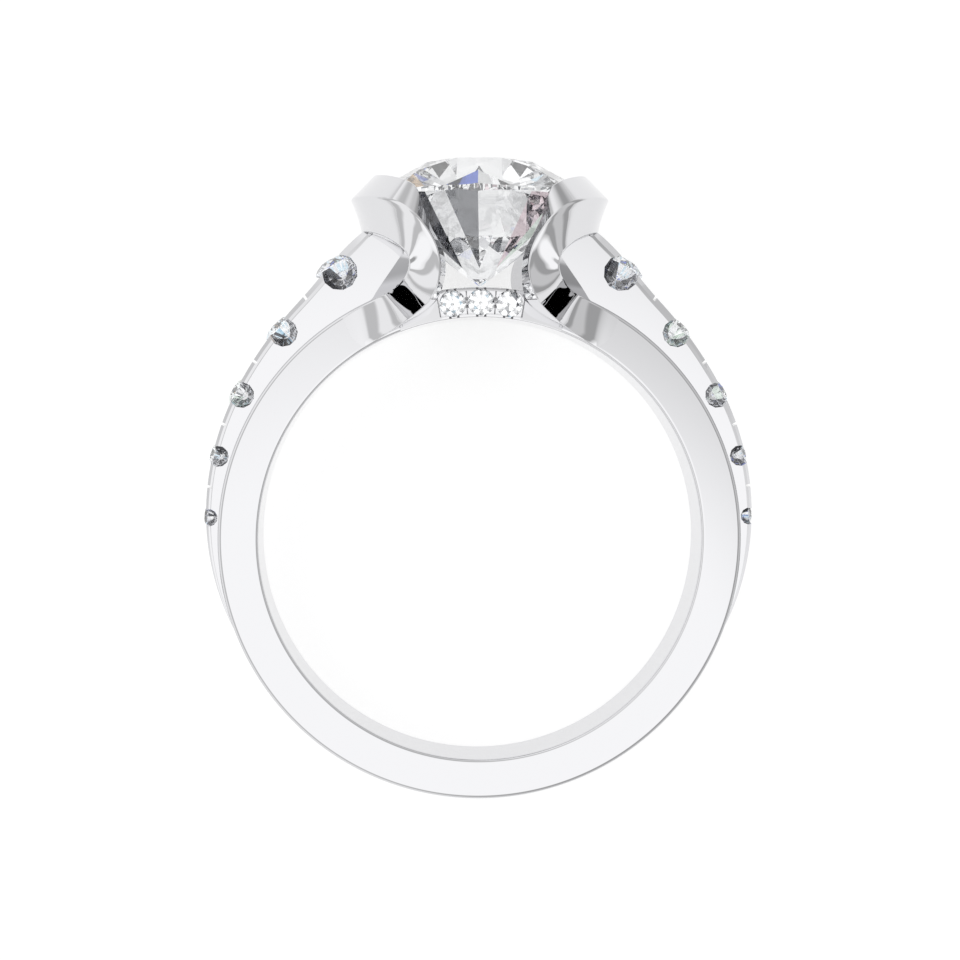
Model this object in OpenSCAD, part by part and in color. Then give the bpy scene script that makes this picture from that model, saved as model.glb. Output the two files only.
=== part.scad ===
// Half-bezel solitaire ring with graduated side stones, lying on its side.
// Modelled in the ring's own frame: x across the ring, y from the bottom of the
// shank up to the head, z along the finger. The last step leans it on its back
// side, the way it lies on a table, with the lowest points at z = 0.

/* [Finger hole] */
// Radius of the finger hole
bore_r = 8.45; // [8.2:0.05:8.7]
// Width of the shank along the finger
shank_w = 2.5; // [2.4:0.05:2.7]

/* [Shank] */
// Outer radius of the shank
shank_r = 10; // [9.9:0.05:10.1]
// Rounding of the four long edges of the shank
edge_round = 0.13; // [0.08:0.01:0.2]

/* [Side rails] */
// Width of the raised middle rail that carries the side stones
rail_w = 2.2; // [2.1:0.05:2.3]
// Width of the cuts between the tiles of a rail
seam_w = 0.08; // [0.05:0.01:0.1]
// Depth of the cuts between the tiles of a rail
seam_depth = 0.3; // [0.2:0.02:0.36]

/* [Half bezels] */
// Depth of the head along the finger, over both half bezels
head_depth = 7.92; // [7.8:0.02:8]
// Number of stations worked out between two rows of the wing table
wing_steps = 3; // [2:1:4]
// How far the face between the two long edges of a wing is hollowed
wing_dish = 0.05; // [0:0.01:0.08]

/* [Gallery] */
// Outer radius of the gallery bar under the centre stone
gallery_r = 9.58; // [9.5:0.02:9.6]
// Half angle of the row of gallery tiles
gallery_half_angle = 10.3; // [10:0.1:10.6]
// Width of the thin rails along the gallery tiles
gallery_rail = 0.14; // [0.1:0.01:0.16]
// Depth of the gallery tiles below their rails
tile_depth = 0.1; // [0.06:0.01:0.12]

/* [Centre stone] */
// Diameter of the centre stone
centre_d = 8.2; // [8.1:0.02:8.24]
// Height of the culet above the finger axis
culet_y = 9.78; // [9.75:0.01:9.85]
// Height of the lower edge of the girdle
girdle_low_y = 12.86; // [12.8:0.01:12.9]
// Height of the upper edge of the girdle
girdle_high_y = 13.04; // [13:0.01:13.1]
// Height of the table
table_y = 14.46; // [14.35:0.01:14.55]
// Radius of the table, measured to its corners
table_r = 2.17; // [2.05:0.01:2.3]

/* [Small stones] */
// Diameter of a gallery stone
gallery_stone_d = 1; // [0.94:0.01:1.02]
// Free play between a stone and its seat
stone_play = 0.03; // [0.02:0.01:0.05]

/* [Resting pose] */
// Lean of the ring when it lies on its back side
rest_lean = 7.99; // [7.9:0.01:8.1]
// Lift that brings the lowest points to zero
rest_lift = 2.609; // [2.5:0.001:2.7]
// Shift along the table that centres the ring on the origin
rest_shift = -2.271; // [-2.6:0.001:-2.2]

/* [Hidden] */

// Rail profile. Columns: angle from the head in degrees, outer radius, height of the dome.
rail_table = [
    [10.4, 9.66, 0.05],
    [12.2, 10.85, 0.05],
    [15.2, 12.18, 0.06],
    [18.1, 12.5, 0.14],
    [20, 12.56, 0.3],
    [22, 12.44, 0.4],
    [25, 12.2, 0.39],
    [28, 11.95, 0.36],
    [32, 11.63, 0.31],
    [36, 11.4, 0.29],
    [44, 11.16, 0.27],
    [52, 10.98, 0.25],
    [66, 10.77, 0.22],
    [79, 10.58, 0.2],
    [90, 10.4, 0.16],
    [100, 10.21, 0.1],
    [106, 10.09, 0.06],
    [109, 9.8, 0.04]];
angle_column = 0;
radius_column = 1;
dome_column = 2;
rail_steps = 2;
rail_root_r = 9;
rail_bevel = 0.08;
rail_dome_steps = 4;

// Side stones. Columns: angle from the head, diameter, radius of the table's plane, notch radius,
// radius at which the notch is centred.
side_stones = [
    [27.8, 1.75, 12.1, 0.69, 11.46],
    [43.5, 1.45, 11.35, 0.54, 10.84],
    [58.7, 1.2, 11.06, 0.49, 10.6],
    [72.2, 1.05, 10.83, 0.4, 10.44],
    [85.2, 0.95, 10.62, 0.33, 10.35]];
side_seams = [35.9, 51.7, 65.7, 78.8];

// Proportions of a small brilliant as parts of its diameter
small_crown = 0.15;
small_girdle = 0.03;
small_pavilion = 0.42;
small_table = 0.28;

// Wing edges, for the wing on the positive x side and its front half. Each row is one station
// along the ribbon: from the bezel's widest place, over the front of the stone and down to the
// face of the shank. Columns: outer top edge, outer lower edge, inner top edge, foot at the rail's
// wall, foot inside the rail, each as x, y and z.
wing_table = [
    [[4.98, 12.94, 0], [4.56, 11.7, 0], [4.08, 13.88, 0], [3.95, 11.6, 0], [3.8, 11.85, 0]],
    [[4.81, 12.89, 1.29], [4.4, 11.64, 1.18], [3.95, 13.8, 1.06], [3.8, 11.52, 0.25], [3.6, 11.75, 0.15]],
    [[4.31, 12.78, 2.47], [3.95, 11.47, 2.26], [3.54, 13.66, 2.04], [3.62, 11.4, 0.5], [3.3, 11.6, 0.3]],
    [[3.71, 12.66, 3.2], [3.48, 11.22, 2.72], [3.05, 13.47, 2.74], [3.38, 11.26, 0.72], [3, 11.4, 0.4]],
    [[3.12, 12.44, 3.68], [3.15, 10.97, 3.1], [2.72, 13.29, 3.08], [3.12, 11.12, 0.9], [2.8, 11.2, 0.5]],
    [[2.56, 12.05, 3.94], [2.91, 10.74, 3.36], [2.38, 13.01, 3.36], [2.91, 10.98, 1.03], [2.66, 10.95, 0.55]],
    [[2.12, 11.58, 3.94], [2.78, 10.54, 3.52], [2.12, 11.98, 3.5], [3.02, 10.78, 1.03], [2.65, 10.75, 0.55]],
    [[1.82, 11.12, 3.88], [2.73, 10.37, 3.62], [1.66, 11.15, 3.42], [3.17, 10.57, 1.03], [2.68, 10.55, 0.55]],
    [[1.65, 10.66, 3.84], [2.72, 10.22, 3.66], [1.43, 10.66, 3.3], [3.33, 10.34, 1.03], [2.75, 10.35, 0.55]],
    [[1.58, 10.16, 3.86], [2.75, 10.02, 3.62], [1.38, 10.16, 3.2], [3.5, 10.1, 1.03], [2.85, 10.15, 0.55]],
    [[1.61, 9.79, 3.91], [2.83, 9.84, 3.44], [1.41, 9.77, 2.85], [3.63, 9.92, 1.03], [2.95, 9.95, 0.55]],
    [[1.7, 9.4, 3.94], [2.96, 9.67, 3.16], [1.5, 9.44, 2.1], [3.77, 9.72, 1.03], [3.05, 9.75, 0.55]],
    [[1.88, 9.01, 3.84], [3.13, 9.51, 2.74], [1.7, 9.08, 1.4], [3.89, 9.55, 1.03], [3.15, 9.5, 0.55]],
    [[2.24, 8.64, 3.2], [3.36, 9.37, 2.13], [2.02, 8.76, 1.15], [4.01, 9.38, 1.03], [3.3, 9.25, 0.55]],
    [[2.7, 8.33, 2.32], [3.6, 9.27, 1.68], [2.46, 8.45, 1], [4.13, 9.22, 1], [3.5, 8.95, 0.5]],
    [[3.36, 7.92, 1.58], [4, 9.11, 1.36], [3.1, 8.18, 0.85], [4.32, 9, 0.95], [3.9, 8.65, 0.5]],
    [[4.1, 7.45, 1.275], [4.55, 8.85, 1.27], [4, 7.76, 0.7], [4.7, 8.7, 0.85], [4.4, 8.3, 0.5]],
    [[4.66, 7.12, 1], [5.04, 8.56, 1], [4.6, 7.4, 0.6], [5.06, 8.42, 0.75], [4.9, 7.95, 0.5]]];

cut_over = 1;
$fn = 96;

// Point between two rows of a table, smooth through its neighbours
function spline(a, b, c, d, t) =
    0.5 * ((2 * b) + (c - a) * t + (2 * a - 5 * b + 4 * c - d) * t * t + (3 * b - a - 3 * c + d) * t * t * t);

// Value of one column of the rail table at an angle
function rail_value(angle, column, i = 0) =
    i >= len(rail_table) - 2 || rail_table[i + 1][angle_column] >= angle
        ? let (row = rail_table[i], next = rail_table[i + 1])
            row[column] + (next[column] - row[column])
                * (angle - row[angle_column]) / (next[angle_column] - row[angle_column])
        : rail_value(angle, column, i + 1);

function polar(r, angle, z) = [r * sin(angle), r * cos(angle), z];

// Closed cross section of the rail at an angle: foot, wall, small bevel and dome
function rail_section(angle) =
    let (r = rail_value(angle, radius_column), dome = rail_value(angle, dome_column), half = rail_w / 2)
    concat(
        [polar(rail_root_r, angle, -half), polar(r - dome - rail_bevel, angle, -half)],
        [for (k = [-rail_dome_steps : rail_dome_steps])
            let (part = k / rail_dome_steps)
            polar(r - dome * part * part, angle, (half - rail_bevel) * part)],
        [polar(r - dome - rail_bevel, angle, half), polar(rail_root_r, angle, half)]);

// Closed cross section of a wing: outer face dished a little, then the foot and the inner face
function wing_section(edges) =
    let (top = edges[0], low = edges[1], inner_top = edges[2], wall_foot = edges[3], inner_foot = edges[4],
        inward = (inner_top + inner_foot - top - low) / 2, dish = wing_dish * inward / norm(inward))
    [top, (3 * top + low) / 4 + 0.75 * dish, (top + low) / 2 + dish, (top + 3 * low) / 4 + 0.75 * dish,
        low, wall_foot, inner_foot, (inner_foot + inner_top) / 2, inner_top];

// Station of the wing between row i and row i + 1
function wing_station(i, t) =
    let (last = len(wing_table) - 1,
        before = i > 0 ? wing_table[i - 1] : mirror_z(wing_table[1]),
        after = wing_table[min(i + 2, last)])
    [for (edge = [0 : 4])
        spline(before[edge], wing_table[i][edge], wing_table[min(i + 1, last)][edge], after[edge], t)];

function mirror_z(edges) = [for (p = edges) [p[0], p[1], -p[2]]];

// Closed solid through a row of sections with the same number of points. Before the station named
// by turn the quads are split along their other diagonal, so that mirrored halves match.
module loft(sections, turn = 0) {
    count = len(sections[0]);
    last = len(sections) - 1;
    side_faces = [for (i = [0 : last - 1], j = [0 : count - 1])
        let (a = i * count + j, b = i * count + (j + 1) % count)
        each i < turn
            ? [[a, b, a + count], [b, b + count, a + count]]
            : [[a, b, b + count], [a, b + count, a + count]]];
    start_cap = [[for (j = [count - 1 : -1 : 0]) j]];
    end_cap = [[for (j = [0 : count - 1]) last * count + j]];
    polyhedron(points = [for (s = sections) each s], faces = concat(side_faces, start_cap, end_cap));
}

// Ring of the shank's profile with rounded edges, from one radius to another
module rounded_ring(inner_r, outer_r, start, sweep) {
    half = shank_w / 2;
    corner_steps = 3;
    corners = [[outer_r - edge_round, half - edge_round, 0], [inner_r + edge_round, half - edge_round, 90],
        [inner_r + edge_round, edge_round - half, 180], [outer_r - edge_round, edge_round - half, 270]];
    outline = [for (c = corners, k = [0 : corner_steps])
        let (turn = c[2] + 90 * k / corner_steps)
        [c[0] + edge_round * cos(turn), c[1] + edge_round * sin(turn)]];
    rotate([0, 0, start])
        rotate_extrude(angle = sweep, $fn = 180)
            polygon(outline);
}

// Sector of a flat ring around the finger axis, centred on the head
module sector(inner_r, outer_r, half_angle, z_low, z_high) {
    rotate([0, 0, 90 - half_angle])
        rotate_extrude(angle = 2 * half_angle, $fn = 180)
            polygon([[inner_r, z_low], [outer_r, z_low], [outer_r, z_high], [inner_r, z_high]]);
}

module shank() {
    head_gap = 19;
    rounded_ring(bore_r, shank_r, 90 + head_gap, 360 - 2 * head_gap);
    rounded_ring(bore_r, gallery_r, 90 - head_gap - 1, 2 * head_gap + 2);
}

module rail() {
    last = len(rail_table) - 1;
    rows = [for (i = [last : -1 : 1], k = [0 : rail_steps - 1])
        let (angle = rail_table[i][angle_column], next = rail_table[i - 1][angle_column])
        angle + (next - angle) * k / rail_steps];
    loft([for (angle = concat(rows, [rail_table[0][angle_column]])) rail_section(angle)]);
}

module wing() {
    last = len(wing_table) - 1;
    front = [for (i = [0 : last - 1], k = [0 : wing_steps - 1]) wing_station(i, k / wing_steps)];
    half = concat(front, [wing_table[last]]);
    back = [for (i = [len(half) - 1 : -1 : 1]) mirror_z(half[i])];
    loft([for (edges = concat(back, half)) wing_section(edges)], turn = len(back));
}

// Rail and half bezel of the positive x side, set to the depth of the head
module shoulder() {
    resize([0, 0, head_depth])
        union() {
            difference() {
                rail();
                rail_cuts();
            }
            wing();
        }
}

// Turns a piece made at the head, pointing outwards along y, to an angle on the ring
module at_angle(angle) {
    rotate([0, 0, -angle])
        children();
}

// Cutter for a seat: follows the stone with a little play and opens outwards
module small_seat(d, table_h) {
    r = d / 2 + stone_play;
    girdle_high = table_h - small_crown * d;
    girdle_low = girdle_high - small_girdle * d - stone_play;
    tip = girdle_low - small_pavilion * d - stone_play;
    rotate([-90, 0, 0])
        rotate_extrude($fn = 32)
            polygon([[0, tip], [r, girdle_low], [r, table_h + cut_over], [0, table_h + cut_over]]);
}

module rail_cuts() {
    for (s = side_stones) {
        at_angle(s[0])
            small_seat(s[1], s[2]);
        at_angle(s[0])
            translate([0, s[4], -rail_w])
                cylinder(r = s[3], h = 2 * rail_w, $fn = 32);
    }
    for (angle = side_seams)
        at_angle(angle)
            translate([-seam_w / 2, rail_value(angle, radius_column) - seam_depth, -rail_w])
                cube([seam_w, 2 * seam_depth, 2 * rail_w]);
}

// One stone of the gallery row lies in a tile on the front or the back face
module gallery_place(index, side) {
    tile_angle = gallery_half_angle * 2 / 3;
    middle_r = (bore_r + gallery_r) / 2;
    at_angle((index - 2) * tile_angle)
        translate([0, middle_r, 0])
            rotate([side > 0 ? 90 : -90, 0, 0])
                children();
}

gallery_table_z = shank_w / 2 - tile_depth + 0.12;

module gallery_cuts() {
    floor_z = shank_w / 2 - tile_depth;
    tile_angle = gallery_half_angle * 2 / 3;
    for (side = [1, -1])
        mirror([0, 0, side > 0 ? 0 : 1]) {
            sector(bore_r + edge_round + gallery_rail, gallery_r - edge_round - gallery_rail,
                gallery_half_angle, floor_z, shank_w / 2 + cut_over);
            for (edge = [-1.5 : 1 : 1.5])
                at_angle(edge * tile_angle)
                    translate([-seam_w / 4, bore_r + edge_round, floor_z - tile_depth])
                        cube([seam_w / 2, gallery_r - bore_r - 2 * edge_round, cut_over]);
        }
    for (side = [1, -1], index = [1 : 3])
        gallery_place(index, side)
            small_seat(gallery_stone_d, gallery_table_z);
}

// Room for the centre stone: its outline turned about the head's axis, with the play added
module centre_seat() {
    r = centre_d / 2 + stone_play;
    rotate([-90, 0, 0])
        rotate_extrude($fn = 128)
            polygon([[0, culet_y - stone_play], [r, girdle_low_y - stone_play],
                [r, girdle_high_y + stone_play], [table_r + stone_play, table_y + stone_play],
                [0, table_y + stone_play]]);
}

// Round brilliant with its axis along y: table, 8 star, 8 kite and 16 upper facets, a girdle of
// 16 flats, 16 lower facets and 8 pavilion mains that meet in a point
module brilliant(r, corner_r, tip, low, high, top) {
    star_r = (corner_r * cos(22.5) + r) / 2;
    star_h = high + (r - star_r * cos(22.5)) * (top - high) / (r - corner_r);
    main_r = 0.24 * r;
    main_h = tip + main_r * cos(22.5) * (low - tip) / r;
    ring = [for (k = [0 : 7]) 22.5 + 45 * k];
    between = [for (k = [0 : 7]) 45 + 45 * k];
    around = [for (k = [0 : 15]) 22.5 + 22.5 * k];
    points = concat(
        [for (a = ring) [corner_r * sin(a), top, corner_r * cos(a)]],
        [for (a = between) [star_r * sin(a), star_h, star_r * cos(a)]],
        [for (a = around) [r * sin(a), high, r * cos(a)]],
        [for (a = around) [r * sin(a), low, r * cos(a)]],
        [for (a = between) [main_r * sin(a), main_h, main_r * cos(a)]],
        [[0, tip, 0]]);
    stars = 8;
    uppers = 16;
    lowers = 32;
    mains = 48;
    culet = 56;
    eight = [0 : 7];
    faces = concat(
        [[for (k = [7 : -1 : 0]) k]],
        [for (k = eight) [k, (k + 1) % 8, stars + k]],
        [for (k = eight) [k, stars + k, uppers + 2 * k, stars + (k + 7) % 8]],
        [for (k = eight) [stars + k, uppers + 2 * k + 1, uppers + 2 * k]],
        [for (k = eight) [stars + k, uppers + (2 * k + 2) % 16, uppers + 2 * k + 1]],
        [for (k = [0 : 15]) [uppers + k, uppers + (k + 1) % 16, lowers + (k + 1) % 16, lowers + k]],
        [for (k = eight) [lowers + 2 * k, lowers + 2 * k + 1, mains + k]],
        [for (k = eight) [lowers + 2 * k + 1, lowers + (2 * k + 2) % 16, mains + k]],
        [for (k = eight) [culet, mains + (k + 7) % 8, lowers + 2 * k, mains + k]]);
    polyhedron(points = points, faces = faces);
}

module small_stone(d, table_h) {
    girdle_high = table_h - small_crown * d;
    girdle_low = girdle_high - small_girdle * d;
    brilliant(d / 2, small_table * d, girdle_low - small_pavilion * d, girdle_low, girdle_high, table_h);
}

// Leans the ring on its back side and centres it on the origin
module at_rest() {
    translate([0, rest_shift, rest_lift])
        rotate([rest_lean, 0, 0])
            children();
}

module band_and_bezel() {
    color("gainsboro")
        at_rest()
            difference() {
                union() {
                    shank();
                    shoulder();
                    mirror([1, 0, 0])
                        shoulder();
                }
                translate([0, 0, -shank_w])
                    cylinder(r = bore_r, h = 2 * shank_w, $fn = 180);
                gallery_cuts();
                centre_seat();
            }
}

module centre_stone() {
    color("aliceblue")
        at_rest()
            brilliant(centre_d / 2, table_r, culet_y, girdle_low_y, girdle_high_y, table_y);
}

module side_stone(side, index) {
    stone = side_stones[index - 1];
    color("aliceblue")
        at_rest()
            at_angle(side * stone[0])
                small_stone(stone[1], stone[2]);
}

module gallery_stone(side, index) {
    color("aliceblue")
        at_rest()
            gallery_place(index, side)
                small_stone(gallery_stone_d, gallery_table_z);
}

band_and_bezel();
centre_stone();
side_stone(-1, 1);  // side_stone_left_1
side_stone(-1, 2);  // side_stone_left_2
side_stone(-1, 3);  // side_stone_left_3
side_stone(-1, 4);  // side_stone_left_4
side_stone(-1, 5);  // side_stone_left_5
side_stone(1, 1);  // side_stone_right_1
side_stone(1, 2);  // side_stone_right_2
side_stone(1, 3);  // side_stone_right_3
side_stone(1, 4);  // side_stone_right_4
side_stone(1, 5);  // side_stone_right_5
gallery_stone(1, 1);  // gallery_stone_front_1
gallery_stone(1, 2);  // gallery_stone_front_2
gallery_stone(1, 3);  // gallery_stone_front_3
gallery_stone(-1, 1);  // gallery_stone_back_1
gallery_stone(-1, 2);  // gallery_stone_back_2
gallery_stone(-1, 3);  // gallery_stone_back_3
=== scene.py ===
import bpy
import bmesh
import math
import random
from mathutils import Matrix, Vector


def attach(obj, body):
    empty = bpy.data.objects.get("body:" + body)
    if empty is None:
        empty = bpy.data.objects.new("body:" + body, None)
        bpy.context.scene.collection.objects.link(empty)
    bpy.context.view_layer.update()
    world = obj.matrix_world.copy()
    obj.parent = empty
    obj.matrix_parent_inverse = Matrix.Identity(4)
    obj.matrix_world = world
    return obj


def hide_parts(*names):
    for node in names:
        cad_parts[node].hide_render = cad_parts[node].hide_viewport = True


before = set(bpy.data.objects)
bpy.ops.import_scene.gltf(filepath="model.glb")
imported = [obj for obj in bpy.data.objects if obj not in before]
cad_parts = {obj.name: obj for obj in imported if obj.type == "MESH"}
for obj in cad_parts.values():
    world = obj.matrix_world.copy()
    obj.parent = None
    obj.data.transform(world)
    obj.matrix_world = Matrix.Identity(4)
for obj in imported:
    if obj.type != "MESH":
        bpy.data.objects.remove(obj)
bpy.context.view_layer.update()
print("solids loaded")

# Everything on the ring is drawn as it would stand, in millimetres: x across the finger hole, y from the
# foot of the shank up to the head, z along the finger. ringToTable leans it on its back side, as it lies.
resting = {"lean": 7.99, "lift": 2.609, "shift": -2.271}
ringToTable = (Matrix.Scale(0.001, 4) @ Matrix.Translation((0, resting["shift"], resting["lift"]))
               @ Matrix.Rotation(math.radians(resting["lean"]), 4, "X"))


def srgb(code):
    # sRGB hex to the linear values that the shaders want
    parts = [int(code[i:i + 2], 16) / 255 for i in (0, 2, 4)]
    return [c / 12.92 if c <= 0.04045 else ((c + 0.055) / 1.055) ** 2.4 for c in parts] + [1]


def addNode(tree, kind, settings=None, links=None):
    # settings go to sockets where the node has one of that name, otherwise to its properties
    node = tree.nodes.new(kind)
    for name, value in (settings or {}).items():
        if isinstance(name, int) or name in node.inputs:
            node.inputs[name].default_value = value
        else:
            setattr(node, name, value)
    for name, source in (links or {}).items():
        tree.links.new(source, node.inputs[name])
    return node


def softStep(tree, value, low, high, start, end):
    # goes softly from start to end while value goes from low to high
    settings = {"interpolation_type": "SMOOTHSTEP", "From Min": low, "From Max": high,
                "To Min": start, "To Max": end}
    return addNode(tree, "ShaderNodeMapRange", settings, {"Value": value}).outputs["Result"]


def newMaterial(name):
    material = bpy.data.materials.new(name)
    material.use_nodes = True
    material.node_tree.nodes.clear()
    return material, material.node_tree


# materials

# gapReach and hazeSize in millimetres; gap and haze are the ranges that openness and noise blend over
# the gap colour is painted shade, which darkens the metal's colour in gaps and corners
whiteGold = {"colour": "dadadc", "paintedGapShade": "3c3c3f", "gapReach": 0.15, "gap": (0.12, 0.6), "gapSamples": 4,
             "roughness": 0.012, "hazeRoughness": 0.03, "hazeSize": 0.6, "hazeDetail": 3.0,
             "haze": (0.35, 0.75)}


def polishedWhiteGold():
    # White gold, machine polished: a nearly white mirror with a trace of haze from the wheel; painted shade
    # darkens it in gaps
    material, tree = newMaterial("polishedWhiteGold")
    place = addNode(tree, "ShaderNodeTexCoord")
    haze = addNode(tree, "ShaderNodeTexNoise",
                   {"Scale": 1000 / whiteGold["hazeSize"], "Detail": whiteGold["hazeDetail"]},
                   {"Vector": place.outputs["Object"]})
    rough = addNode(tree, "ShaderNodeMapRange",
                    {"From Min": whiteGold["haze"][0], "From Max": whiteGold["haze"][1],
                     "To Min": whiteGold["roughness"], "To Max": whiteGold["hazeRoughness"]},
                    {"Value": haze.outputs["Fac"]})
    # painted shade: where the occlusion within gapReach is high, the base colour turns towards the dark gap
    # colour
    openness = addNode(tree, "ShaderNodeAmbientOcclusion",
                       {"samples": whiteGold["gapSamples"], "Distance": 0.001 * whiteGold["gapReach"]})
    bare = softStep(tree, openness.outputs["AO"], *whiteGold["gap"], 0, 1)
    # inputs 6 and 7 of a colour mix are its two colours, output 2 is the mixed one
    gapShadedColour = addNode(tree, "ShaderNodeMix",
                   {"data_type": "RGBA", 6: srgb(whiteGold["paintedGapShade"]), 7: srgb(whiteGold["colour"])},
                   {0: bare})
    metal = addNode(tree, "ShaderNodeBsdfPrincipled", {"Metallic": 1.0},
                    {"Roughness": rough.outputs["Result"], "Base Color": gapShadedColour.outputs[2]})
    addNode(tree, "ShaderNodeOutputMaterial", {}, {"Surface": metal.outputs["BSDF"]})
    return material


# the stones' glow strengths: their facets glow faintly in their painted tones, as painted light
diamond = {"ior": 2.417, "centrePaintedGlow": 0.0, "smallPaintedGlow": 0.03}

# Letters for the painted facet tones, reflections and fire: white, light, grey, dark, black, navy, rose,
# orange, blue, mint
paintedFacetTones = {"w": "fdfeff", "l": "dcdde0", "g": "8a8c90", "d": "4a4c50", "k": "101114", "n": "1c2f9c",
              "r": "e0c4cc", "o": "b08860", "b": "a9cfe6", "m": "c3d6c6"}


def cutDiamond(name, glow):
    # Colourless diamond, cut and polished: clear, it bends light hard; painted reflections and fire tone each
    # facet
    material, tree = newMaterial(name)
    # painted reflections: the facet's painted tone becomes the stone's base colour
    tone = addNode(tree, "ShaderNodeAttribute", {"attribute_name": "paintedFacetTone"})
    stone = addNode(tree, "ShaderNodeBsdfPrincipled",
                    {"Metallic": 0.0, "Roughness": 0.0, "IOR": diamond["ior"], "Transmission Weight": 1.0,
                     "Emission Strength": glow},
                    {"Base Color": tone.outputs["Color"], "Emission Color": tone.outputs["Color"]})
    addNode(tree, "ShaderNodeOutputMaterial", {}, {"Surface": stone.outputs["BSDF"]})
    return material


goldMaterial = polishedWhiteGold()
centreMaterial = cutDiamond("centreDiamond", diamond["centrePaintedGlow"])
smallMaterial = cutDiamond("smallDiamonds", diamond["smallPaintedGlow"])


# helpers

def finishPiece(bm, name, material, nodes, smooth=True):
    # from ring millimetres to the table, then one object that rides on the root body
    bmesh.ops.transform(bm, matrix=ringToTable, verts=bm.verts)
    mesh = bpy.data.meshes.new(name)
    bm.to_mesh(mesh)
    bm.free()
    mesh.materials.append(material)
    if smooth:
        mesh.shade_smooth()
    piece = bpy.data.objects.new(name, mesh)
    bpy.context.scene.collection.objects.link(piece)
    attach(piece, "root")
    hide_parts(*nodes)
    return piece


def mirror(bm, axes):
    bmesh.ops.scale(bm, vec=axes, verts=bm.verts)
    bmesh.ops.reverse_faces(bm, faces=bm.faces)


def loftSections(sections):
    # one closed skin through sections that have the same number of points
    bm = bmesh.new()
    ring = [bm.verts.new(p) for p in sections[0]]
    bm.faces.new(ring)
    for section in sections[1:]:
        edges = [bm.edges.get((ring[i - 1], ring[i])) for i in range(len(ring))]
        grown = bmesh.ops.extrude_edge_only(bm, edges=edges)["geom"]
        fresh = {v for v in grown if isinstance(v, bmesh.types.BMVert)}
        ring = [next(e.other_vert(v) for e in v.link_edges if e.other_vert(v) in fresh) for v in ring]
        for v, p in zip(ring, section):
            v.co = p
    bm.faces.new(ring)
    bmesh.ops.recalc_face_normals(bm, faces=bm.faces)
    return bm


def roundCorner(before, corner, after, radius, steps):
    # points of a small fillet that replaces a corner
    start = corner + (before - corner).normalized() * radius
    end = corner + (after - corner).normalized() * radius
    points = []
    for k in range(steps + 1):
        t = k / steps
        points.append(start * (1 - t) ** 2 + corner * 2 * t * (1 - t) + end * t * t)
    return points


def spline(a, b, c, d, t):
    # smooth curve from b to c, with a and d as the points beyond them
    return 0.5 * ((2 * b) + (c - a) * t + (2 * a - 5 * b + 4 * c - d) * t * t
                  + (3 * b - a - 3 * c + d) * t * t * t)


def smoothLine(line, times):
    # rounds off a line of points, whose two ends stay
    for _ in range(times):
        line = [line[0]] + [(a + b * 2 + c) / 4 for a, b, c in zip(line, line[1:], line[2:])] + [line[-1]]
    return line


# a face flatRatio times wider than its neighbour meets a fillet there; a turn under leastTurn is no edge
fillet = {"flatRatio": 6, "leastTurn": 2}


def smoothFillets(piece, sharpAngle):
    # hard edges stay hard, and so does the border between a wide face and its narrow fillet
    bm = bmesh.new()
    bm.from_mesh(piece.data)
    for edge in bm.edges:
        if len(edge.link_faces) == 2:
            one, two = [face.calc_area() / max(edge.calc_length(), 1e-9) for face in edge.link_faces]
            turn = math.degrees(edge.calc_face_angle(0))
            even = turn < fillet["leastTurn"] or max(one, two) < fillet["flatRatio"] * min(one, two)
            edge.smooth = turn < sharpAngle and even
    bm.to_mesh(piece.data)
    bm.free()


def goldPiece(bm, name, sharpAngle):
    smoothFillets(finishPiece(bm, name, goldMaterial, ["band_and_bezel"]), sharpAngle)


# shank

# radii, width and edge in millimetres; taper, headGap and sharp in degrees
shank = {"boreRadius": 8.45, "radius": 10.0, "barRadius": 9.58, "width": 2.5, "taper": 2.5, "edge": 0.13,
         "edgeReach": 1.12, "edgeSteps": 5, "steps": 320, "headGap": 20.0, "sharp": 35}


def shankProfile(outer, edge):
    # rounded section in the plane of radius and z, a little narrower at the outside
    inner, half = shank["boreRadius"], shank["width"] / 2
    rim = half - (outer - inner) * math.tan(math.radians(shank["taper"]))
    corners = [Vector((*c, 0)) for c in ((inner, -half), (outer, -rim), (outer, rim), (inner, half))]
    points = []
    for i, corner in enumerate(corners):
        points += roundCorner(corners[i - 1], corner, corners[(i + 1) % 4], edge * shank["edgeReach"],
                              shank["edgeSteps"])
    return points


def sweep(points, fromAngle, toAngle, steps):
    # closed band from a flat outline; angles run from the head, clockwise as seen from the front
    bm = bmesh.new()
    face = bm.faces.new([bm.verts.new(p) for p in points])
    bmesh.ops.rotate(bm, verts=bm.verts, cent=(0, 0, 0),
                     matrix=Matrix.Rotation(math.radians(-fromAngle), 3, "Z"))
    bmesh.ops.spin(bm, geom=[face] + list(face.edges) + list(face.verts), cent=(0, 0, 0), axis=(0, 0, -1),
                   angle=math.radians(toAngle - fromAngle), steps=steps, use_merge=False, use_duplicate=False)
    bmesh.ops.recalc_face_normals(bm, faces=bm.faces)
    return bm


def ringBand(outer, edge, fromAngle, toAngle, steps):
    return sweep([(0, p.x, p.y) for p in shankProfile(outer, edge)], fromAngle, toAngle, steps)


goldPiece(ringBand(shank["radius"], shank["edge"], shank["headGap"], 360 - shank["headGap"], shank["steps"]),
          "shankBand", shank["sharp"])
print("shank made")


# half bezels

# dish is how hollow the outer face is; below tailTop it fades along z, over fadeReach, to none at flushAt
bezel = {"rowSteps": 10, "smoothing": 30, "faceSteps": 6, "dish": 0.04, "outerEdge": 0.07, "lowEdge": 0.06,
         "rimEdge": 0.05, "edgeSteps": 4, "tailTop": 9.0, "flushAt": 1.25, "fadeReach": 0.4, "sharp": 40}

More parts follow.
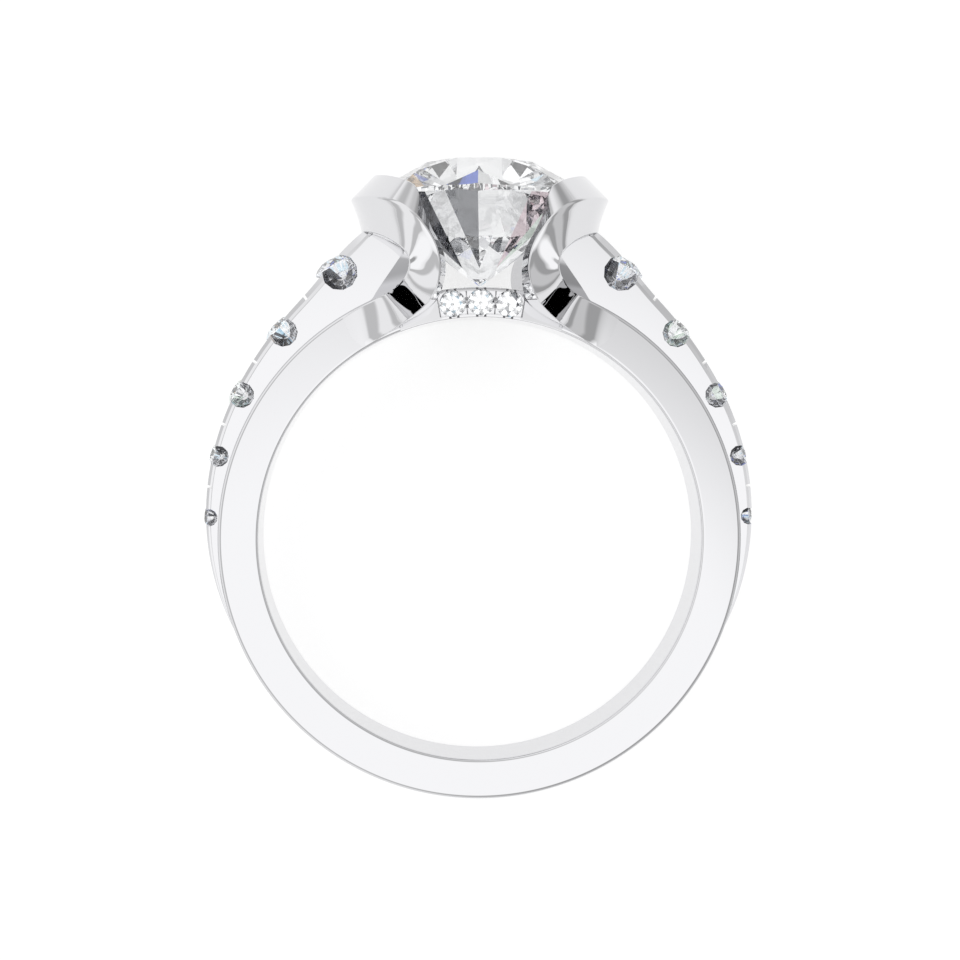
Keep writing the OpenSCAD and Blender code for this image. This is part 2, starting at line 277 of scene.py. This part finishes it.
# One row for each station of the front half on the right: outer top edge, outer lower edge, inner top edge,
# foot at the rail's wall, foot inside the rail. From the widest place round to the shank's face.
bezelRows = [
    [(4.98, 12.94, 0), (4.56, 11.7, 0), (4.08, 13.88, 0), (3.95, 11.6, 0), (3.8, 11.85, 0)],
    [(4.81, 12.89, 1.29), (4.4, 11.64, 1.18), (3.95, 13.8, 1.06), (3.8, 11.52, 0.25), (3.6, 11.75, 0.15)],
    [(4.31, 12.78, 2.47), (3.95, 11.47, 2.26), (3.54, 13.66, 2.04), (3.62, 11.4, 0.5), (3.3, 11.6, 0.3)],
    [(3.71, 12.66, 3.2), (3.48, 11.22, 2.86), (3.05, 13.47, 2.74), (3.38, 11.26, 0.72), (3, 11.4, 0.4)],
    [(3.12, 12.44, 3.68), (3.15, 10.97, 3.32), (2.72, 13.29, 3.08), (3.12, 11.12, 0.9), (2.8, 11.2, 0.5)],
    [(2.56, 12.05, 3.94), (2.91, 10.74, 3.6), (2.38, 13.01, 3.36), (2.91, 10.98, 1.03), (2.66, 10.95, 0.55)],
    [(2.12, 11.58, 3.94), (2.78, 10.54, 3.74), (2.12, 11.98, 3.5), (3.02, 10.78, 1.03), (2.65, 10.75, 0.55)],
    [(1.82, 11.12, 3.88), (2.73, 10.37, 3.76), (1.66, 11.15, 3.42), (3.17, 10.57, 1.03), (2.68, 10.55, 0.55)],
    [(1.65, 10.66, 3.84), (2.72, 10.22, 3.66), (1.43, 10.66, 3.3), (3.33, 10.34, 1.03), (2.75, 10.35, 0.55)],
    [(1.58, 10.16, 3.86), (2.75, 10.02, 3.62), (1.38, 10.16, 3.2), (3.5, 10.1, 1.03), (2.85, 10.15, 0.55)],
    [(1.61, 9.79, 3.91), (2.83, 9.84, 3.44), (1.41, 9.77, 2.85), (3.63, 9.92, 1.03), (2.95, 9.95, 0.55)],
    [(1.7, 9.4, 3.94), (2.96, 9.67, 3.16), (1.5, 9.44, 2.1), (3.77, 9.72, 1.03), (3.05, 9.75, 0.55)],
    [(1.88, 9.01, 3.84), (3.13, 9.51, 2.74), (1.7, 9.08, 1.4), (3.89, 9.55, 1.03), (3.15, 9.5, 0.55)],
    [(2.24, 8.64, 3.2), (3.36, 9.37, 2.13), (2.02, 8.76, 1.15), (4.01, 9.38, 1.03), (3.3, 9.25, 0.55)],
    [(2.7, 8.33, 2.32), (3.6, 9.27, 1.68), (2.46, 8.45, 1), (4.13, 9.22, 1), (3.5, 8.95, 0.5)],
    [(3.36, 7.92, 1.58), (4, 9.11, 1.36), (3.1, 8.18, 0.85), (4.32, 9, 0.95), (3.9, 8.65, 0.5)],
    [(4.1, 7.45, 1.265), (4.55, 8.85, 1.22), (4, 7.76, 0.7), (4.7, 8.7, 0.85), (4.4, 8.3, 0.5)],
    [(4.66, 7.12, 1.25), (5.04, 8.56, 1.19), (4.6, 7.4, 0.7), (5.1, 8.42, 0.8), (4.9, 7.95, 0.5)],
    [(5.35, 6.6, 1.238), (5.75, 8.08, 1.175), (5.3, 6.9, 0.7), (5.8, 7.95, 0.8), (5.5, 7.5, 0.5)]]


def bezelStations():
    rows = [[Vector(p) for p in row] for row in bezelRows]
    flip = lambda row: [Vector((p.x, p.y, -p.z)) for p in row]
    rows = [flip(row) for row in rows[:0:-1]] + rows
    stations = []
    for i in range(len(rows) - 1):
        near = [rows[max(i - 1, 0)], rows[i], rows[i + 1], rows[min(i + 2, len(rows) - 1)]]
        for k in range(bezel["rowSteps"]):
            stations.append([spline(*[row[e] for row in near], k / bezel["rowSteps"]) for e in range(5)])
    stations.append(rows[-1])
    return list(zip(*[smoothLine(list(edge), bezel["smoothing"]) for edge in zip(*stations)]))


def bezelSection(station):
    top, low, innerTop, wallFoot, innerFoot = station
    # the face is hollow, except on the tails, which lie flush in the shank's face
    fade = min(1, max(0, (abs(top.z) - bezel["flushAt"]) / bezel["fadeReach"]))
    if top.y > bezel["tailTop"]:
        fade = 1
    inward = (innerTop + innerFoot - top - low).normalized() * bezel["dish"] * fade
    points = roundCorner(innerTop, top, low, bezel["outerEdge"], bezel["edgeSteps"])
    for k in range(1, bezel["faceSteps"]):
        t = k / bezel["faceSteps"]
        points.append(top.lerp(low, t) + inward * 4 * t * (1 - t))
    points += roundCorner(top, low, wallFoot, bezel["lowEdge"], bezel["edgeSteps"])
    points += [low.lerp(wallFoot, 0.5), wallFoot, innerFoot, innerFoot.lerp(innerTop, 0.5)]
    points += roundCorner(innerFoot, innerTop, top, bezel["rimEdge"], bezel["edgeSteps"])
    return points


def halfBezel(name, side):
    bm = loftSections([bezelSection(s) for s in bezelStations()])
    if side < 0:
        mirror(bm, (-1, 1, 1))
    goldPiece(bm, name, bezel["sharp"])


halfBezel("halfBezelRight", 1)
halfBezel("halfBezelLeft", -1)
print("half bezels made")


# side rails

# The section goes up the wall, over a dark line, a white strip and a grey shoulder to the nearly flat top.
rail = {"halfWidth": 1.1, "rootRadius": 9.0, "line": 0.03, "strip": 0.11, "stripShare": 0.4, "stripLean": 0.06,
        "slope": 0.9, "crown": 0.01, "topSteps": 6, "rowSteps": 8, "smoothing": 12, "seam": 0.1,
        "seamDepth": 0.19, "seamAcross": 4, "notchFacets": 11, "notchRings": 8, "notchDepth": 0.9, "sharp": 20}

# angle from the head, outer radius, height of the dome over the rims
railRows = [(10.4, 9.66, 0.05), (12.2, 10.85, 0.05), (15.2, 12.18, 0.06), (18.1, 12.5, 0.14), (20, 12.56, 0.3),
            (22, 12.44, 0.4), (25, 12.2, 0.39), (28, 11.95, 0.36), (32, 11.63, 0.31), (36, 11.4, 0.29),
            (44, 11.16, 0.27), (52, 10.98, 0.25), (59, 10.87, 0.235), (66, 10.77, 0.22), (79, 10.58, 0.2),
            (90, 10.4, 0.16), (100, 10.21, 0.1), (106, 10.09, 0.06), (112, 9.96, 0.03), (116, 9.85, 0.02)]

# angle from the head, diameter, radius of the table's plane, notch radius, radius of the notch's centre
sideStones = [(27.8, 1.75, 12.1, 0.69, 11.46), (43.5, 1.45, 11.35, 0.54, 10.84), (58.7, 1.2, 11.06, 0.49, 10.6),
              (72.2, 1.05, 10.83, 0.4, 10.44), (85.2, 0.95, 10.62, 0.33, 10.35)]
sideSeams = [35.9, 51.7, 65.7, 78.8]


def railLine():
    rows = [Vector(r) for r in railRows]
    line = [a.lerp(b, k / rail["rowSteps"]) for a, b in zip(rows, rows[1:]) for k in range(rail["rowSteps"])]
    return smoothLine(line + [rows[-1]], rail["smoothing"])


def railSection(row):
    angle, radius, dome = row
    half, low = rail["halfWidth"], radius - dome
    line, slope = rail["line"], rail["slope"]
    strip = min(rail["strip"], rail["stripShare"] * dome)
    rise = dome - rail["crown"] - strip
    side = [(half, rail["rootRadius"]), (half, low - line), (half - slope * line, low),
            (half - slope * line - rail["stripLean"] * strip, low + strip)]
    shoulder = side[-1][0] - slope * rise
    for k in range(rail["topSteps"] + 1):
        t = k / rail["topSteps"]
        side.append((shoulder * (1 - t), low + strip + rise + rail["crown"] * t * (2 - t)))
    both = side + [(-z, r) for z, r in side[-2::-1]]
    turn = math.radians(angle)
    return [Vector((r * math.sin(turn), r * math.cos(turn), z)) for z, r in both]


def meshOf(bm, name):
    # a plain object for a boolean, still in ring millimetres
    mesh = bpy.data.meshes.new(name)
    bm.to_mesh(mesh)
    bm.free()
    item = bpy.data.objects.new(name, mesh)
    bpy.context.scene.collection.objects.link(item)
    return item


def carve(bm, cutters, name):
    # takes the cutters away from the piece, one exact boolean each, and gives the mesh back
    body = meshOf(bm, name + "Body")
    items = []
    for cutter in cutters:
        item = meshOf(cutter, name + "Cutter")
        items.append(item)
        step = body.modifiers.new("cut", "BOOLEAN")
        step.operation = "DIFFERENCE"
        step.solver = "EXACT"
        step.object = item
    bpy.context.view_layer.update()
    done = body.evaluated_get(bpy.context.evaluated_depsgraph_get())
    result = bmesh.new()
    result.from_mesh(done.to_mesh())
    done.to_mesh_clear()
    for item in items + [body]:
        mesh = item.data
        bpy.data.objects.remove(item)
        bpy.data.meshes.remove(mesh)
    return result


def turnedTo(angle):
    # from the head to an angle on the ring
    return Matrix.Rotation(math.radians(-angle), 4, "Z")


def turnedSolid(profile, steps):
    # closed solid of revolution about y, from a line of radius and height that starts and ends on the axis
    bm = bmesh.new()
    verts = [bm.verts.new((radius, height, 0)) for radius, height in profile]
    edges = [bm.edges.new(pair) for pair in zip(verts, verts[1:])]
    bmesh.ops.spin(bm, geom=verts + edges, cent=(0, 0, 0), axis=(0, 1, 0), angle=math.tau, steps=steps,
                   use_merge=True, use_duplicate=False)
    bmesh.ops.remove_doubles(bm, verts=bm.verts, dist=1e-5)
    bmesh.ops.recalc_face_normals(bm, faces=bm.faces)
    return bm


# girdle and depth are shares of the stone's diameter, play and over are millimetres
seat = {"play": 0.02, "galleryPlay": 0.005, "girdle": 0.175, "depth": 0.43, "over": 1, "steps": 64}


def seatCutter(diameter, tableRadius, angle, play):
    r = diameter / 2 + play
    girdle = tableRadius - seat["girdle"] * diameter
    top = girdle + seat["over"]
    bm = turnedSolid([(0, girdle - seat["depth"] * diameter), (r, girdle), (r, top), (0, top)], seat["steps"])
    bmesh.ops.transform(bm, matrix=turnedTo(angle), verts=bm.verts)
    return bm


def notchCutter(radius, centre, angle, side):
    # deep hollow in one side wall of the rail, cut bright in flat facets, that shows the stone's lower half
    bm = bmesh.new()
    place = turnedTo(angle) @ Matrix.Translation((0, centre, side * rail["halfWidth"]))
    bmesh.ops.create_uvsphere(bm, u_segments=rail["notchFacets"], v_segments=rail["notchRings"],
                              radius=radius,
                              matrix=place @ Matrix.Diagonal((1, 1, rail["notchDepth"] / radius, 1)))
    return bm


def blockCutter(angle, place, size):
    bm = bmesh.new()
    bmesh.ops.create_cube(bm, size=1, matrix=turnedTo(angle) @ Matrix.Translation(place)
                          @ Matrix.Diagonal((*size, 1)))
    return bm


def sideRail(name, side):
    line = railLine()
    bm = loftSections([railSection(row) for row in line])
    cutters = []
    for angle, diameter, tableRadius, notch, centre in sideStones:
        cutters += [notchCutter(notch, centre, angle, 1), notchCutter(notch, centre, angle, -1)]
        cutters.append(seatCutter(diameter, tableRadius, angle, seat["play"]))
    for angle in sideSeams:
        a, b = next(pair for pair in zip(line, line[1:]) if pair[1].x >= angle)
        radius = a.y + (b.y - a.y) * (angle - a.x) / (b.x - a.x)
        size = (rail["seam"], 2 * rail["seamDepth"], rail["seamAcross"])
        cutters.append(blockCutter(angle, (0, radius, 0), size))
    bm = carve(bm, cutters, name)
    if side < 0:
        mirror(bm, (-1, 1, 1))
    goldPiece(bm, name, rail["sharp"])


sideRail("stoneRailRight", 1)
sideRail("stoneRailLeft", -1)
print("side rails made")


# gallery bar

# halfAngle and sharp in degrees; notch sizes in millimetres, notchShare and seamNotchSize as factors of the
# rim's height and of the notch
gallery = {"halfAngle": 10.3, "rim": 0.12, "edge": 0.04, "tileDepth": 0.1, "tileSteps": 48, "tileTop": 2,
           "stone": 1.0, "proud": 0.12, "seam": 0.05, "seamDepth": 0.1, "seamShort": 0.01, "notch": 0.09,
           "notchShare": 0.8, "notchDepth": 0.25, "rimNotch": 0.15, "seamNotch": 0.14,
           "seamNotchSize": (1.3, 1.5), "seamNotchDepth": 0.45, "barSteps": 60, "barPast": 1, "sharp": 28}
tileAngle = gallery["halfAngle"] * 2 / 3
tileFloor = shank["width"] / 2 - gallery["tileDepth"]
barMiddle = (shank["boreRadius"] + shank["barRadius"]) / 2


def galleryCutters(face):
    # face is 1 for the front and -1 for the back
    low = shank["boreRadius"] + gallery["rim"]
    high = shank["barRadius"] - gallery["rim"]
    border = [(0, r, z) for r, z in ((low, tileFloor), (high, tileFloor), (high, gallery["tileTop"]),
                                     (low, gallery["tileTop"]))]
    cutters = [sweep(border, -gallery["halfAngle"], gallery["halfAngle"], gallery["tileSteps"])]
    for k in (-1, 0, 1):
        bm = seatCutter(gallery["stone"], tileFloor + gallery["proud"], 0, seat["galleryPlay"])
        bmesh.ops.transform(bm, matrix=turnedTo(k * tileAngle) @ Matrix.Translation((0, barMiddle, 0))
                            @ Matrix.Rotation(math.radians(90), 4, "X"), verts=bm.verts)
        cutters.append(bm)

    def slot(angle, aside, radius, width, height, depth):
        # small square slot that goes down from the bar's face
        cutters.append(blockCutter(angle, (aside, radius, shank["width"] / 2), (width, height, 2 * depth)))

    for k in (-1.5, -0.5, 0.5, 1.5):
        slot(k * tileAngle, 0, barMiddle, gallery["seam"], high - low - gallery["seamShort"],
             gallery["tileDepth"] + gallery["seamDepth"])
    for k in (-1, 0, 1):
        for radius in (low - gallery["rim"] / 2, high + gallery["rim"] / 2):
            for aside in (-gallery["rimNotch"], gallery["rimNotch"]):
                slot(k * tileAngle, aside, radius, gallery["notch"], gallery["rim"] * gallery["notchShare"],
                     gallery["notchDepth"])
    wide, tall = gallery["seamNotchSize"]
    for k in (-0.5, 0.5):
        for aside in (-gallery["seamNotch"], gallery["seamNotch"]):
            slot(k * tileAngle, 0, barMiddle + aside, gallery["notch"] * wide, gallery["notch"] * tall,
                 gallery["seamNotchDepth"])
    if face < 0:
        for bm in cutters:
            mirror(bm, (1, 1, -1))
    return cutters


def galleryBar():
    reach = shank["headGap"] + gallery["barPast"]
    bm = ringBand(shank["barRadius"], gallery["edge"], -reach, reach, gallery["barSteps"])
    goldPiece(carve(bm, galleryCutters(1) + galleryCutters(-1), "galleryBar"), "galleryBar", gallery["sharp"])


galleryBar()
print("gallery bar made")


# stones

# letters that the shares of the small stones' painted facet tones stand for, and how many facets there are of
# each kind
toneOrder = "wlgdknbom"
facetCounts = (8, 8, 8, 16, 16)

# shares of the painted reflection tones on the small stones
sideReflectionShares = (20, 3, 0, 1, 7, 2, 3, 1, 2)
galleryReflectionShares = (20, 10, 4, 2, 2, 0, 1, 0, 0)


def seededPaintedTones(seed, shares):
    # painted reflection tones for the facets of a small stone, in the order of the facets in brilliant
    pick = random.Random(seed)
    return ["".join(pick.choices(toneOrder, shares, k=count)) for count in facetCounts]


# A cut's angles are in degrees; girdle, table and crownHeight are shares of the diameter. The painted
# reflection tones stand in the order crown mains, stars, pavilion mains, crown halves, pavilion halves.
smallCut = {"crownAngle": 33, "pavilionAngle": 40, "girdle": 0.03, "table": 0.56, "turn": 0.0,
            "crownHeight": 0.145}
centreStone = {"diameter": 8.2, "girdleTop": 13.04, "crownAngle": 33.5, "pavilionAngle": 38.0, "girdle": 0.02,
               "table": 0.53, "turn": -3.5,
               "tones": ("wwwwwwww", "wwwklkww", "wwwwwwww", "wgwlgwnwwbwgkwon", "wrmgkgkwwkgkgkkd")}

# eighth and sixteenth in degrees; steeper is what the crown's halves have over its mains, lowerHalf how far
# the pavilion's halves reach towards the tip; the bar is the stock that the stone is cut from
brilliantPlan = {"eighth": 45, "sixteenth": 22.5, "steeper": 6.5, "lowerHalf": 0.78, "barSides": 96,
                 "barLength": 1.6}


def brilliant(diameter, tones, cut):
    # round brilliant cut out of a short bar by its facet planes; axis along y, girdle's top at y = 0
    r = diameter / 2
    eighth, sixteenth = brilliantPlan["eighth"], brilliantPlan["sixteenth"]
    bm = bmesh.new()
    bmesh.ops.create_cone(bm, cap_ends=True, segments=brilliantPlan["barSides"], radius1=r, radius2=r,
                          depth=diameter * brilliantPlan["barLength"])
    bmesh.ops.rotate(bm, verts=bm.verts, cent=(0, 0, 0), matrix=Matrix.Rotation(math.radians(-90), 3, "X"))
    thickness = cut["girdle"] * diameter
    crownSlope, pavilionSlope = math.radians(cut["crownAngle"]), math.radians(cut["pavilionAngle"])
    toMain, toHalf = math.cos(math.radians(sixteenth)), math.cos(math.radians(sixteenth / 2))
    left = 1 - brilliantPlan["lowerHalf"]
    halfSlope = math.atan(math.tan(pavilionSlope) * (1 - left * toMain) / (1 - left * toHalf))
    tableHeight = (1 - cut["table"]) * r * math.tan(crownSlope)
    planes = [(Vector((0, 1, 0)), Vector((0, tableHeight, 0)), "w")]

    def plane(azimuth, slope, through, tone, down=False):
        # a facet that faces azimuth, steep by slope, through a point given as radius and height there
        a = math.radians(azimuth + cut["turn"])
        out = Vector((math.sin(a), 0, math.cos(a)))
        normal = out * math.sin(slope) + Vector((0, -1 if down else 1, 0)) * math.cos(slope)
        planes.append((normal, out * through[0] + Vector((0, through[1], 0)), tone))

    starEnd = r * (1 + cut["table"]) / 2
    starHeight = (r - starEnd * toMain) * math.tan(crownSlope)
    tableEdge = cut["table"] * r * toMain
    starSlope = math.atan2(tableHeight - starHeight, starEnd - tableEdge)
    crownMains, stars, pavilionMains, crownHalves, pavilionHalves = tones
    for k in range(8):
        plane(sixteenth + eighth * k, crownSlope, (r, 0), crownMains[k])
        plane(eighth * k, starSlope, (tableEdge, tableHeight), stars[k])
        plane(sixteenth + eighth * k, pavilionSlope, (r, -thickness), pavilionMains[k], True)
    halfCrown = crownSlope + math.radians(brilliantPlan["steeper"])
    for k in range(16):
        plane(sixteenth / 2 + sixteenth * k, halfCrown, (r, 0), crownHalves[k])
        plane(sixteenth / 2 + sixteenth * k, halfSlope, (r, -thickness), pavilionHalves[k], True)
    letters = "".join(paintedFacetTones)
    kind = bm.faces.layers.int.new("kind")
    for normal, point, tone in planes:
        sliced = bmesh.ops.bisect_plane(bm, geom=list(bm.verts) + list(bm.edges) + list(bm.faces), dist=1e-6,
                                        plane_co=point, plane_no=normal, clear_outer=True)
        border = [e for e in sliced["geom_cut"] if isinstance(e, bmesh.types.BMEdge)]
        if len(border) > 2:
            for face in bmesh.ops.contextual_create(bm, geom=border)["faces"]:
                face[kind] = letters.index(tone)
    bmesh.ops.recalc_face_normals(bm, faces=bm.faces)
    # painted reflections: each facet's tone is stored as a colour on its corners, for the diamond material
    colour = bm.loops.layers.float_color.new("paintedFacetTone")
    for face in bm.faces:
        for loop in face.loops:
            loop[colour] = srgb(paintedFacetTones[letters[face[kind]]])
    bm.faces.layers.int.remove(kind)
    return bm


def setStone(bm, name, place, node, material):
    bmesh.ops.transform(bm, matrix=place, verts=bm.verts)
    finishPiece(bm, name, material, [node], smooth=False)


setStone(brilliant(centreStone["diameter"], centreStone["tones"], centreStone), "centreBrilliant",
         Matrix.Translation((0, centreStone["girdleTop"], 0)), "centre_stone", centreMaterial)

# the steps keep the seeds of the stones apart
seedStep = {"side": 10, "face": 30}

for i, (angle, diameter, tableRadius, *_) in enumerate(sideStones):
    for side, word in ((1, "right"), (-1, "left")):
        girdle = Matrix.Translation((0, tableRadius - smallCut["crownHeight"] * diameter, 0))
        setStone(brilliant(diameter, seededPaintedTones(i + seedStep["side"] * side, sideReflectionShares), smallCut),
                 f"{word}SideBrilliant{i + 1}", turnedTo(side * angle) @ girdle,
                 f"side_stone_{word}_{i + 1}", smallMaterial)

for face, word in ((1, "front"), (-1, "back")):
    for k in range(3):
        height = tileFloor + gallery["proud"] - smallCut["crownHeight"] * gallery["stone"]
        place = (turnedTo((k - 1) * tileAngle) @ Matrix.Translation((0, barMiddle, 0))
                 @ Matrix.Rotation(math.radians(90 * face), 4, "X") @ Matrix.Translation((0, height, 0)))
        setStone(brilliant(gallery["stone"], seededPaintedTones(k + seedStep["face"] * face, galleryReflectionShares), smallCut),
                 f"{word}GalleryBrilliant{k + 1}", place, f"gallery_stone_{word}_{k + 1}",
                 smallMaterial)
print("stones set")


# floor, light and camera

# metres; the floor's glow is painted light, a pool that falls from nearGlow to farGlow between the two edges
studio = {"floor": "a8a8a8", "floorSize": 2, "floorParts": 8, "roughness": 0.9, "sheen": 0.1,
          "nearGlow": 0.74, "farGlow": 0.5, "nearEdge": 0.03, "farEdge": 0.15, "bounces": 32}


def floorSheet():
    # matt pale floor under the ring that glows as painted light, brightest in a pool around the ring
    bm = bmesh.new()
    bmesh.ops.create_grid(bm, x_segments=studio["floorParts"], y_segments=studio["floorParts"],
                          size=studio["floorSize"])
    mesh = bpy.data.meshes.new("table")
    bm.to_mesh(mesh)
    bm.free()
    material, tree = newMaterial("floorWithPaintedLightPool")
    place = addNode(tree, "ShaderNodeTexCoord")
    reach = addNode(tree, "ShaderNodeVectorMath", {"operation": "LENGTH"}, {0: place.outputs["Object"]})
    # painted pool of light: the emission falls with the distance from the ring's middle
    glow = softStep(tree, reach.outputs["Value"], studio["nearEdge"], studio["farEdge"], studio["nearGlow"],
                    studio["farGlow"])
    opal = addNode(tree, "ShaderNodeBsdfPrincipled",
                   {"Base Color": srgb(studio["floor"]), "Roughness": studio["roughness"],
                    "Specular IOR Level": studio["sheen"], "Emission Color": (1, 1, 1, 1)},
                   {"Emission Strength": glow})
    addNode(tree, "ShaderNodeOutputMaterial", {}, {"Surface": opal.outputs["BSDF"]})
    mesh.materials.append(material)
    table = bpy.data.objects.new("table", mesh)
    bpy.context.scene.collection.objects.link(table)


floorSheet()

# The studio around the ring, as directions in the ring's own frame: a soft box behind the camera, a darker
# belt round it, a bright left and a dimmer right side, a dark band near the shank's plane, and two black
# flags that the ribbons mirror. Angles are in degrees, for the box and belt from the box's middle. rimBand is
# the band's angle from the finger's axis and its reach; a flag is azimuth, angle from that axis and reaches.
room = {"box": (0.02, -0.2, 0.98), "boxEdge": (14, 24), "boxLight": 1.31, "beltIn": (22, 26),
        "beltOut": (38, 48), "belt": 0.62, "left": 1.14, "right": 0.75, "middle": (-0.3, 0.3),
        "rimBand": (84, 12), "rimCore": 0.2, "rimShade": 0.4,
        "flags": [(-118, 61, 15, 10.5), (111, 62, 13, 11.5)], "flagPower": 3, "flagEdge": (0.85, 1.15),
        "secondBounce": (1.4, 1.6)}


def studioWorld():
    world = bpy.data.worlds.new("studio")
    bpy.context.scene.world = world
    world.use_nodes = True
    tree = world.node_tree
    tree.nodes.clear()
    raw = addNode(tree, "ShaderNodeTexCoord")
    turned = addNode(tree, "ShaderNodeVectorRotate",
                     {"rotation_type": "X_AXIS", "Angle": math.radians(-resting["lean"])},
                     {"Vector": raw.outputs["Generated"]}).outputs["Vector"]

    def calculate(kind, first, second=0):
        # one Math node on numbers or sockets
        node = addNode(tree, "ShaderNodeMath", {"operation": kind})
        for socket, value in zip(node.inputs, (first, second)):
            if isinstance(value, (int, float)):
                socket.default_value = value
            else:
                tree.links.new(value, socket)
        return node.outputs["Value"]

    def angleFrom(target):
        # degrees between a direction and a target
        dot = addNode(tree, "ShaderNodeVectorMath",
                      {"operation": "DOT_PRODUCT", 1: Vector(target).normalized()}, {0: turned})
        cosine = calculate("MINIMUM", dot.outputs["Value"], 1.0)
        return calculate("MULTIPLY", calculate("ARCCOSINE", cosine), 180 / math.pi)

    def dimmed(light, shade):
        return calculate("MULTIPLY", light, calculate("SUBTRACT", 1, shade))

    parts = addNode(tree, "ShaderNodeSeparateXYZ", {}, {"Vector": turned})
    across, up = parts.outputs["X"], parts.outputs["Y"]
    light = softStep(tree, across, *room["middle"], room["left"], room["right"])
    fromBox = angleFrom(room["box"])
    belt = calculate("MULTIPLY", softStep(tree, fromBox, *room["beltIn"], 0, 1),
                     softStep(tree, fromBox, *room["beltOut"], 1, 0))
    light = dimmed(light, calculate("MULTIPLY", belt, 1 - room["belt"]))
    box = softStep(tree, fromBox, *room["boxEdge"], 1, 0)
    light = calculate("ADD", dimmed(light, box), calculate("MULTIPLY", box, room["boxLight"]))
    azimuth = calculate("MULTIPLY", calculate("ARCTAN2", across, up), 180 / math.pi)
    polar = angleFrom((0, 0, 1))
    bandAngle, bandReach = room["rimBand"]
    fromBand = calculate("ABSOLUTE", calculate("SUBTRACT", polar, bandAngle))
    light = dimmed(light, softStep(tree, fromBand, bandReach * room["rimCore"], bandReach, room["rimShade"], 0))
    # the flags show only where the metal mirrors a second time
    depth = addNode(tree, "ShaderNodeLightPath").outputs["Glossy Depth"]
    again = softStep(tree, depth, *room["secondBounce"], 0, 1)
    for az, pol, azReach, polReach in room["flags"]:
        aside = calculate("DIVIDE", calculate("SUBTRACT", azimuth, az), azReach)
        above = calculate("DIVIDE", calculate("SUBTRACT", polar, pol), polReach)
        reach = calculate("ADD", calculate("POWER", calculate("ABSOLUTE", aside), room["flagPower"]),
                          calculate("POWER", calculate("ABSOLUTE", above), room["flagPower"]))
        light = dimmed(light, calculate("MULTIPLY", softStep(tree, reach, *room["flagEdge"], 1, 0), again))
    back = addNode(tree, "ShaderNodeBackground", {"Color": (1, 1, 1, 1)}, {"Strength": light})
    addNode(tree, "ShaderNodeOutputWorld", {}, {"Surface": back.outputs["Background"]})


studioWorld()

# the photograph's camera, found from the ring's own circles, in ring millimetres
photoCamera = {"place": (-2.788, 5.345, 61.89), "yaw": 2.587, "pitch": 2.888, "lens": 60, "sensor": 36,
               "near": 0.005, "far": 20}


def photographCamera():
    yaw, pitch = math.radians(photoCamera["yaw"]), math.radians(photoCamera["pitch"])
    ahead = Vector((math.sin(yaw) * math.cos(pitch), -math.sin(pitch), -math.cos(yaw) * math.cos(pitch)))
    right = Vector((math.cos(yaw), 0, math.sin(yaw)))
    up = right.cross(ahead)
    place = Matrix.Translation(photoCamera["place"]) @ Matrix((right, up, -ahead)).transposed().to_4x4()
    data = bpy.data.cameras.new("photoCamera")
    data.lens, data.sensor_width = photoCamera["lens"], photoCamera["sensor"]
    data.clip_start, data.clip_end = photoCamera["near"], photoCamera["far"]
    camera = bpy.data.objects.new("photoCamera", data)
    bpy.context.scene.collection.objects.link(camera)
    matrix = ringToTable @ place
    camera.matrix_world = Matrix.LocRotScale(matrix.to_translation(), matrix.to_quaternion(), (1, 1, 1))
    bpy.context.scene.camera = camera


photographCamera()
bpy.context.scene.view_settings.view_transform = "Standard"
for kind in ("max_bounces", "glossy_bounces", "transmission_bounces"):
    setattr(bpy.context.scene.cycles, kind, studio["bounces"])
print("studio ready")
